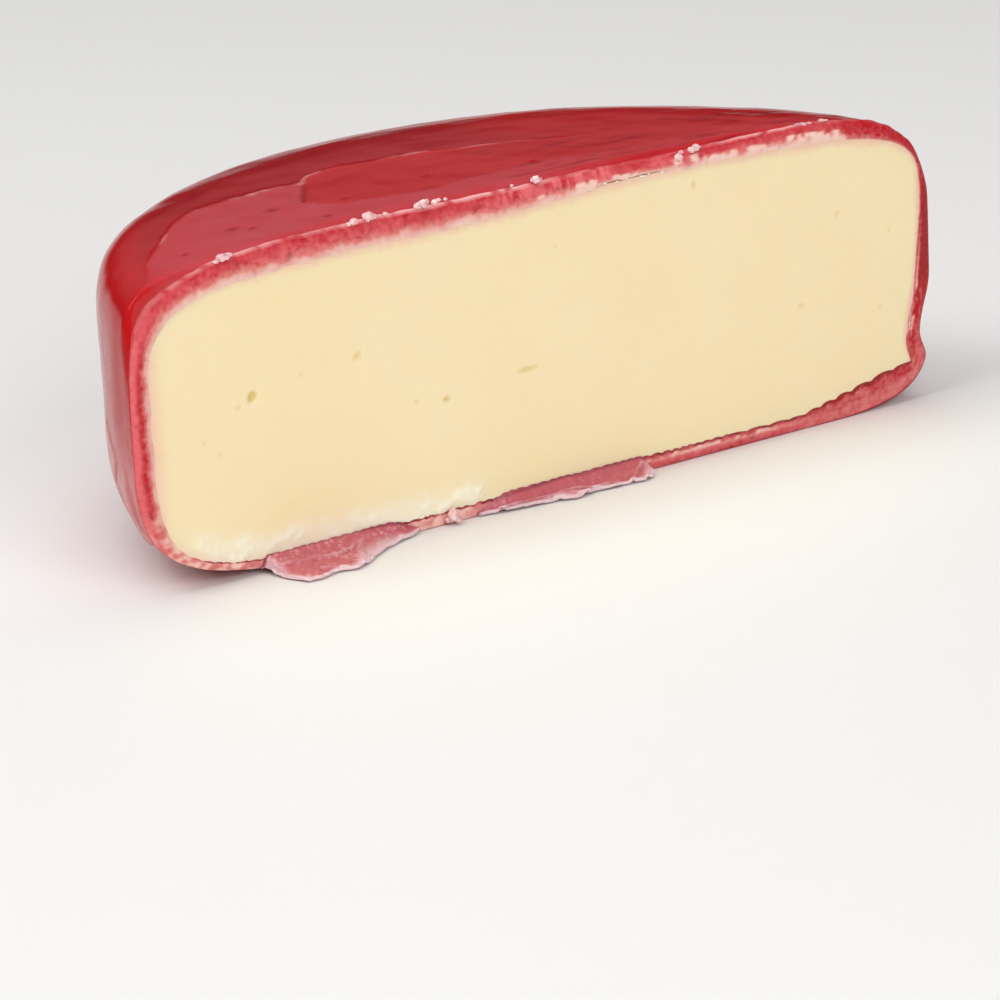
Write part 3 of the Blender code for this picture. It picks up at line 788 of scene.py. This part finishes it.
def torn_flap(name, outline, creases, seed, columns, rows, bubbly, tapers):
    """A torn strip of wax film that lies forward on the surface, with milky rims and creases.

    Tapers are the lengths, in millimetres, over which it thins out at its left and right end.
    """
    roots, tips, reaches, rims = (np.array(values) for values in zip(*outline))
    piece = new_piece(name, rows, columns)
    root, away = np.meshgrid(np.linspace(roots[0], roots[-1], columns), np.linspace(0, 1, rows))
    reach = np.interp(root, roots, reaches)
    rough = np.stack([root, away * reach, np.full(root.shape, seed)], axis=-1) * MM
    torn = grain(rough, 3.7, seed) + 0.6 * grain(rough, 1.3, seed + 1)
    torn = torn + 0.3 * grain(rough, 0.5, seed + 3)
    across = mix(root, np.interp(root, roots, tips), away) + 0.30 * torn * away
    forward = 0.15 + (reach * (0.96 + 0.09 * torn) - 0.15) * away ** 1.1
    from_rim = np.minimum.reduce([reach * (1.0 - away), root - roots[0], roots[-1] - root])
    rim = 1.0 - ramp(from_rim + 0.25 * torn, 0.1, np.interp(root, roots, rims))
    rim = rim * ramp(away * reach, 0.25, 0.6)
    fold = np.zeros(root.shape)
    for start, end, width in creases:
        off = off_line(across, forward, start, end)
        fold = np.maximum(fold, bump((off + 0.15 * torn) / width))
    # The root, along the saw line against the paste, is darkened as painted shade
    saw_line_shade = (1.0 - ramp(away * reach + 0.10 * torn, 0.16, 0.48)) * ramp(reach, 0.7, 2.0)
    saw_line_shade = saw_line_shade * (0.55 + 0.45 * ramp(torn, -0.4, 0.5))
    from_end = np.minimum((root - roots[0]) / tapers[0], (roots[-1] - root) / tapers[1])
    taper = ramp(from_end + 0.10 * torn, -0.15, 1.0)
    jag = 0.18 * saw_teeth(across * MM) + 0.10 * torn
    height = FLAP_ROOT * (0.12 + 0.88 * taper) + jag * (1.0 - ramp(away, 0.0, 0.2)) * taper
    rolled = 0.30 * (1.0 - ramp(from_rim, 0.0, 0.8)) + 0.38 * fold
    up = height * (1.0 - away) ** 1.4 + rolled * ramp(away, 0.15, 0.4)
    up = up + (0.16 * grain(rough, 1.3, seed + 2) + 0.12 * torn) * ramp(away, 0.05, 0.3)
    up = np.maximum(up, 0.05) + FLAP_SHEET
    places = np.stack([across * MM, CUT_PLACE - forward * MM, up * MM], axis=-1)
    bubbles = bubbly + 0.0 * saw_line_shade
    shape_grid(piece, places, {"rim": rim, "fold": fold, "saw_line_shade": saw_line_shade, "bubbly": bubbles})
    if sum(face.normal.z for face in piece.data.polygons) < 0:
        piece.data.flip_normals()
    film = piece.modifiers.new("film", "SOLIDIFY")
    film.thickness = FLAP_SHEET * MM
    film.offset = -1.0
    soft = piece.modifiers.new("soft", "SUBSURF")
    soft.levels = soft.render_levels = 1
    apply_all(piece)
    piece.data.shade_smooth()
    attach(piece, "root")
    return piece


# Crumbs: millimetres across, behind the cut and up, radius, and how flat they lie
TOP_CRUMBS = [
    (-53.4, 0.5, 45.6, 0.85, 0.6), (-52.4, 0.7, 45.7, 0.5, 0.6), (-54.4, 0.5, 45.2, 0.4, 0.6),
    (-32.6, 0.3, 46.7, 0.55, 0.8), (-33.5, 0.3, 46.5, 0.3, 0.8), (-30.2, 0.4, 46.9, 0.72, 0.9),
    (-29.2, 0.6, 46.8, 0.42, 0.8), (-27.6, 0.3, 46.9, 0.3, 0.8), (-22.2, 0.3, 47.0, 0.5, 0.8),
    (-21.4, 0.4, 47.1, 0.62, 0.9), (-20.6, 0.7, 47.2, 0.42, 0.9), (-19.4, 0.4, 47.0, 0.42, 0.8),
    (-18.6, 0.6, 47.1, 0.34, 0.8), (-17.6, 0.4, 47.1, 0.26, 0.8), (-2.4, 0.4, 47.1, 0.6, 0.9),
    (-1.6, 0.5, 47.0, 0.34, 0.8), (-6.5, 0.3, 47.0, 0.24, 0.8), (22.3, 0.0, 46.0, 0.55, 1.0),
    (22.9, 0.2, 46.6, 0.34, 0.8), (24.9, 0.3, 46.6, 0.5, 0.8), (25.6, 0.3, 46.8, 0.55, 0.9),
    (26.3, 0.5, 46.7, 0.3, 0.8), (45.0, 1.2, 46.6, 0.5, 0.4), (45.9, 1.1, 46.6, 0.55, 0.4),
    (47.0, 1.0, 46.6, 0.4, 0.4), (49.3, 1.0, 46.6, 0.5, 0.4), (50.2, 1.0, 46.5, 0.3, 0.4)]
EDGE_LUMPS = [
    (-22.6, -0.05, 2.3, 0.45, 0.4), (-24.6, -0.05, 2.2, 0.5, 0.4), (9.2, 0.05, 44.5, 0.34, 0.5),
    (11.4, 0.05, 44.4, 0.22, 0.7), (13.1, 0.05, 44.5, 0.30, 0.5), (15.8, 0.05, 44.4, 0.38, 0.4),
    (17.0, 0.05, 44.5, 0.20, 0.8), (19.3, 0.05, 44.4, 0.30, 0.6)]
SHARDS = [
    (-19.7, -0.75, 1.45, 0.75, 1.3), (-19.1, -1.15, 0.8, 0.5, 1.0),
    (-20.4, -0.55, 0.9, 0.45, 0.9), (-18.9, -0.6, 1.9, 0.35, 0.8)]


def crumbs(name, places, seed):
    """Small irregular crumbs, each a lumpy ball pressed a little flat."""
    made = []
    chance = random.Random(seed)
    for across, behind, up, radius, flatness in places:
        bpy.ops.object.select_all(action="DESELECT")
        bpy.ops.mesh.primitive_ico_sphere_add(subdivisions=4, radius=radius * MM,
                                              location=(0, 0, 0))
        crumb = bpy.context.object
        shift = Vector([chance.uniform(-9, 9) for _ in range(3)])
        for vertex in crumb.data.vertices:
            way = vertex.co.normalized()
            lump = noise.noise(way * 1.4 + shift) + 0.5 * noise.noise(way * 3.4 + shift)
            vertex.co *= 1.0 + 0.38 * lump
        turn = [chance.uniform(*span) for span in ((-0.5, 0.5), (-0.5, 0.5), (0, 6))]
        crumb.data.transform(Euler(turn).to_matrix().to_4x4())
        crumb.data.transform(Matrix.Diagonal((1.15, 0.85, flatness, 1.0)))
        crumb.data.transform(Matrix.Translation((across * MM, behind * MM + CUT_PLACE, up * MM)))
        crumb.data.shade_smooth()
        made.append(crumb)
    bpy.ops.object.select_all(action="DESELECT")
    for crumb in made:
        crumb.select_set(True)
    bpy.context.view_layer.objects.active = made[0]
    bpy.ops.object.join()
    piece = made[0]
    piece.name = name
    piece.data.name = name
    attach(piece, "root")
    return piece


def linear(hex_colour):
    """An sRGB hex colour as linear red, green, blue and alpha."""
    values = [int(hex_colour[k:k + 2], 16) / 255 for k in (1, 3, 5)]
    return [v / 12.92 if v <= 0.04045 else ((v + 0.055) / 1.055) ** 2.4 for v in values] + [1.0]


def new_material(name):
    """An empty node material with its shader; returns material, tree and shader."""
    made = bpy.data.materials.new(name)
    made.use_nodes = True
    return made, made.node_tree, made.node_tree.nodes["Principled BSDF"]


def set_inputs(tree, node, inputs):
    """Link a node's inputs to other nodes' outputs, or set them to numbers or hex colours."""
    for key, value in inputs.items():
        if isinstance(value, bpy.types.NodeSocket):
            tree.links.new(value, node.inputs[key])
        else:
            node.inputs[key].default_value = linear(value) if isinstance(value, str) else value


def add_node(tree, kind, settings=None, inputs=None):
    """Add a node, set its properties, and set or link its inputs."""
    node = tree.nodes.new(kind)
    for key, value in (settings or {}).items():
        setattr(node, key, value)
    set_inputs(tree, node, inputs or {})
    return node


def shades_of(tree, *names):
    """The shades that the modelling left on a piece."""
    return [add_node(tree, "ShaderNodeAttribute", {"attribute_name": name}).outputs["Fac"]
            for name in names]


def pattern(tree, kind, size, settings=None, **inputs):
    """A texture whose lumps have a real size in millimetres, fixed to the object."""
    place = add_node(tree, "ShaderNodeTexCoord").outputs["Object"]
    return add_node(tree, kind, settings, {"Vector": place, "Scale": 1 / (size * MM), **inputs})


def cloud(tree, size, detail=4.0):
    """Smooth noise, 0..1."""
    return pattern(tree, "ShaderNodeTexNoise", size, Detail=detail).outputs["Fac"]


def beads(tree, size, smoothness):
    """Distance from the middles of rounded grains."""
    return pattern(tree, "ShaderNodeTexVoronoi", size, {"feature": "SMOOTH_F1"},
                   Smoothness=smoothness).outputs["Distance"]


def calc(tree, operation, *values, clamp=False):
    """One step of arithmetic."""
    settings = {"operation": operation, "use_clamp": clamp}
    return add_node(tree, "ShaderNodeMath", settings, dict(enumerate(values))).outputs["Value"]


def remap(tree, value, low=0.0, high=1.0, to_low=0.0, to_high=1.0):
    """Spread a value's range from low to high over another range."""
    limits = {"From Min": low, "From Max": high, "To Min": to_low, "To Max": to_high}
    node = add_node(tree, "ShaderNodeMapRange", inputs={"Value": value, **limits})
    return node.outputs["Result"]


def blend(tree, share, first, second):
    """A colour part of the way from first to second."""
    return add_node(tree, "ShaderNodeMix", {"data_type": "RGBA"},
                    {"Factor": share, "A": first, "B": second}).outputs["Result"]


def finish_food(tree, shader, colour, roughness, relief, depth):
    """Colour, gloss, fine relief (strength, reach, height) and depth (weight, radius, scale)."""
    strength, reach, height = relief
    weight, radius, scale = depth
    bumpy = add_node(tree, "ShaderNodeBump",
                     inputs={"Strength": strength, "Distance": reach * MM, "Height": height})
    set_inputs(tree, shader, {
        "Base Color": colour, "Roughness": roughness, "Normal": bumpy.outputs["Normal"],
        "IOR": FOOD_IOR, "Subsurface Weight": weight, "Subsurface Radius": radius,
        "Subsurface Scale": scale * MM})


def wax_material():
    """Red food wax: dipped and glossy outside, paler and matt where the knife went through."""
    made, tree, shader = new_material("red_food_wax")
    cut, dark, veil, pale, ridge_and_reflection, dulled_and_sheen, film = shades_of(
        tree, "cut_wax", "dark", "veil", "pale", "ridge_and_reflection", "dulled_and_sheen", "film")
    # Thick and thin places of the dip: clouds about 12 mm across
    skin = blend(tree, cloud(tree, 12.0, 3.0), "#AC1418", "#BC1A1F")
    # The first dip, which dried duller and a little paler, the paler partly as painted sheen
    # Then the dark marks, with painted shade in the notch and crease and darker streaks of less
    # sheen
    skin = blend(tree, dark, blend(tree, dulled_and_sheen, skin, "#B6444B"), "#86101A")
    # Cut wax: fine specks of about 0.5 mm between deep red and salmon
    speck = calc(tree, "MULTIPLY_ADD", cloud(tree, 0.7, 3.0), 0.9, -0.45)
    raw = blend(tree, calc(tree, "ADD", pale, speck, clamp=True), "#B81E28", "#DE6A6E")
    # Darker in pits, and as painted shade along the saw line and in the cracks
    raw = blend(tree, dark, raw, "#7C2E2C")
    # The pale veil next to the paste, where paste was dragged over the wax
    worn = calc(tree, "MULTIPLY_ADD", speck, 0.5, veil, clamp=True)
    worn = calc(tree, "MULTIPLY", worn, 0.92, clamp=True)
    worn = calc(tree, "MULTIPLY", worn, remap(tree, veil, high=0.12))
    veiled = blend(tree, remap(tree, worn, high=0.5, to_high=0.85), raw, "#E4968C")
    veiled = blend(tree, remap(tree, worn, 0.35, 0.95), veiled, "#F5CDC0")
    # Where a flap is torn from it the cut wax is milky, with bubbly grains of about 1 mm
    milky = blend(tree, beads(tree, 1.1, 0.6), "#DE929E", "#B85868")
    torn = calc(tree, "MULTIPLY_ADD", dark, -0.9, calc(tree, "MULTIPLY", film, 0.85), clamp=True)
    both = blend(tree, cut, skin, blend(tree, torn, veiled, milky))
    # Thin ridges and the pressed-up lip are whitish and dull where the wax was stressed
    # Low on the left flank the pale scuffs, partly a painted reflection, shine less too
    colour = blend(tree, ridge_and_reflection, both, "#EEB0B0")
    shine = remap(tree, ridge_and_reflection, to_low=0.11, to_high=0.035)
    set_inputs(tree, shader, {"Specular IOR Level": shine})
    rough = remap(tree, calc(tree, "MAXIMUM", cut, dulled_and_sheen), to_low=0.16, to_high=0.42)
    # Fine orange-peel of the cooled dip, about 0.8 mm, stronger and rougher on the cut
    peel = (remap(tree, cut, to_low=0.06, to_high=0.3), 0.4, cloud(tree, 1.6, 3.0))
    finish_food(tree, shader, colour, rough, peel, (0.12, (1.0, 0.12, 0.08), 1.5))
    return made


def paste_material():
    """Mild semi-hard paste, cut with a knife: creamy, faintly moist, slightly translucent."""
    made, tree, shader = new_material("cut_cheese_paste")
    hole_shade, scraped, smear = shades_of(tree, "hole_shade", "scraped", "smear")
    body = blend(tree, cloud(tree, 16.0), "#F4DFB0", "#F6E4BC")
    # Darker, deeper yellow inside the holes as painted shade; paler where scraped
    body = blend(tree, hole_shade, blend(tree, scraped, body, "#F8F0DA"), "#E0C478")
    fine = cloud(tree, 1.1)
    veil = calc(tree, "MULTIPLY", smear, calc(tree, "MULTIPLY_ADD", fine, 0.7, 0.5), clamp=True)
    finish_food(tree, shader, blend(tree, veil, body, "#F3BFA8"), 0.5, (0.12, 0.3, fine),
                (0.25, (1.0, 0.6, 0.3), 3.0))
    return made


def torn_wax_material():
    """Thin torn wax film: stressed wax turns milky, most of all at its rims and folds."""
    made, tree, shader = new_material("torn_wax_film")
    rim, fold, saw_line_shade, bubbly = shades_of(tree, "rim", "fold", "saw_line_shade", "bubbly")
    # Bubbly grains of about 1 mm in patches, milky on their tops
    patchy = remap(tree, cloud(tree, 3.5, 2.0), 0.38, 0.62, 0.15)
    tops = calc(tree, "MULTIPLY", remap(tree, beads(tree, 0.8, 0.35), 0.55, 0.1), patchy)
    tops = calc(tree, "MULTIPLY", tops, bubbly)
    body = blend(tree, tops, "#C4616A", "#F0A6AA")
    milky = calc(tree, "MULTIPLY_ADD", cloud(tree, 3.0), 1.4, -0.35, clamp=True)
    milky = calc(tree, "MAXIMUM", calc(tree, "MULTIPLY", milky, fold), rim)
    body = blend(tree, calc(tree, "MULTIPLY", milky, 0.85), body, "#F0D0D6")
    # Its root along the saw line is darkened as painted shade
    finish_food(tree, shader, blend(tree, saw_line_shade, body, "#8A3A44"), 0.32, (0.45, 0.3, tops),
                (0.3, (1.0, 0.4, 0.4), 2.0))
    return made


def crumb_material():
    """Crumbs of paste rubbed with wax: pinkish white, moist and slightly translucent."""
    made, tree, shader = new_material("cheese_crumb")
    lumps = cloud(tree, 1.2)
    colour = blend(tree, remap(tree, lumps, 0.35, 0.65), "#E39CA2", "#F5D2CE")
    finish_food(tree, shader, colour, 0.45, (0.3, 0.2, lumps), (0.4, (1.0, 0.7, 0.6), 1.5))
    return made


def lump_material():
    """Torn lumps of the paste itself: pale, crumbly and a little moist."""
    made, tree, shader = new_material("torn_cheese_lump")
    lumps = cloud(tree, 0.9)
    colour = blend(tree, lumps, "#F0D8C4", "#FAF0DC")
    finish_food(tree, shader, colour, 0.5, (0.4, 0.2, lumps), (0.3, (1.0, 0.6, 0.3), 2.0))
    return made


def table_material():
    """Plain pale table top."""
    made, tree, shader = new_material("pale_table")
    set_inputs(tree, shader, {"Base Color": "#EAE9E7", "Roughness": 0.6})
    return made


def set_camera():
    """The photograph's view: from the front left, a little above."""
    data = bpy.data.cameras.new("camera")
    camera = bpy.data.objects.new("camera", data)
    bpy.context.scene.collection.objects.link(camera)
    data.lens = CAMERA_LENS
    data.sensor_width = SENSOR_WIDTH
    data.clip_start, data.clip_end = 0.01, 50.0
    target = Vector(CAMERA_TARGET) + Vector((0, CUT_PLACE, 0))
    back = Vector((math.sin(CAMERA_AZIMUTH) * math.cos(CAMERA_ELEVATION),
                   -math.cos(CAMERA_AZIMUTH) * math.cos(CAMERA_ELEVATION),
                   math.sin(CAMERA_ELEVATION)))
    turn = back.to_track_quat("Z", "Y").to_matrix().to_4x4()
    roll = Matrix.Rotation(CAMERA_ROLL, 4, "Z")
    camera.matrix_world = Matrix.Translation(target + back * CAMERA_DISTANCE) @ turn @ roll
    bpy.context.scene.camera = camera


def add_softbox(name, place, size, power):
    """A rectangular white softbox that points at the piece."""
    data = bpy.data.lights.new(name, "AREA")
    data.shape = "RECTANGLE"
    data.size, data.size_y = size
    data.energy = power
    light = bpy.data.objects.new(name, data)
    bpy.context.scene.collection.objects.link(light)
    turn = (Vector(place) - Vector(SOFTBOX_AIM)).to_track_quat("Z", "Y").to_matrix().to_4x4()
    light.matrix_world = Matrix.Translation(place) @ turn


def set_surround():
    """A dim studio room: a soft glow high behind, dark near the horizon and to the left."""
    world = bpy.data.worlds.new("studio")
    world.use_nodes = True
    tree = world.node_tree
    way = add_node(tree, "ShaderNodeTexCoord").outputs["Generated"]
    glow = add_node(tree, "ShaderNodeVectorMath", {"operation": "DOT_PRODUCT"},
                    {0: way, 1: (0.25, 0.85, 0.45)})
    level = remap(tree, glow.outputs["Value"], 0.1, 1.0, 0.05, 0.42)
    height = add_node(tree, "ShaderNodeSeparateXYZ", inputs={"Vector": way}).outputs["Z"]
    strength = calc(tree, "MULTIPLY", level, remap(tree, height, 0.08, 0.34))
    set_inputs(tree, tree.nodes["Background"], {"Color": "#F2F2F4", "Strength": strength})
    bpy.context.scene.world = world


def set_stage():
    """A wide pale table, three softboxes and the dim room."""
    bpy.ops.object.select_all(action="DESELECT")
    bpy.ops.mesh.primitive_plane_add(size=TABLE_WIDTH, location=(0, 0, 0))
    table = bpy.context.object
    table.name = "table"
    table.data.materials.append(table_material())
    for name, softbox in SOFTBOXES.items():
        add_softbox(name, *softbox)
    set_surround()


wax_coat = make_wax()
wax_coat.data.materials.append(wax_material())
cheese_paste = make_paste()
cheese_paste.data.materials.append(paste_material())
film = torn_wax_material()
for flap in (torn_flap("broad_wax_flap", BROAD_FLAP, BROAD_CREASES, seed=41, columns=170, rows=60,
                       bubbly=1.0, tapers=(1.5, 5.0)),
             torn_flap("thin_wax_flap", THIN_FLAP, THIN_CREASES, seed=47, columns=200, rows=36,
                       bubbly=0.25, tapers=(6.0, 0.8))):
    flap.data.materials.append(film)
crumb_finish = crumb_material()
for heap in (crumbs("top_edge_crumbs", TOP_CRUMBS, 3), crumbs("wax_shards", SHARDS, 5)):
    heap.data.materials.append(crumb_finish)
crumbs("lower_edge_lumps", EDGE_LUMPS, 7).data.materials.append(lump_material())
set_stage()
set_camera()
bpy.context.scene.view_settings.view_transform = "Standard"
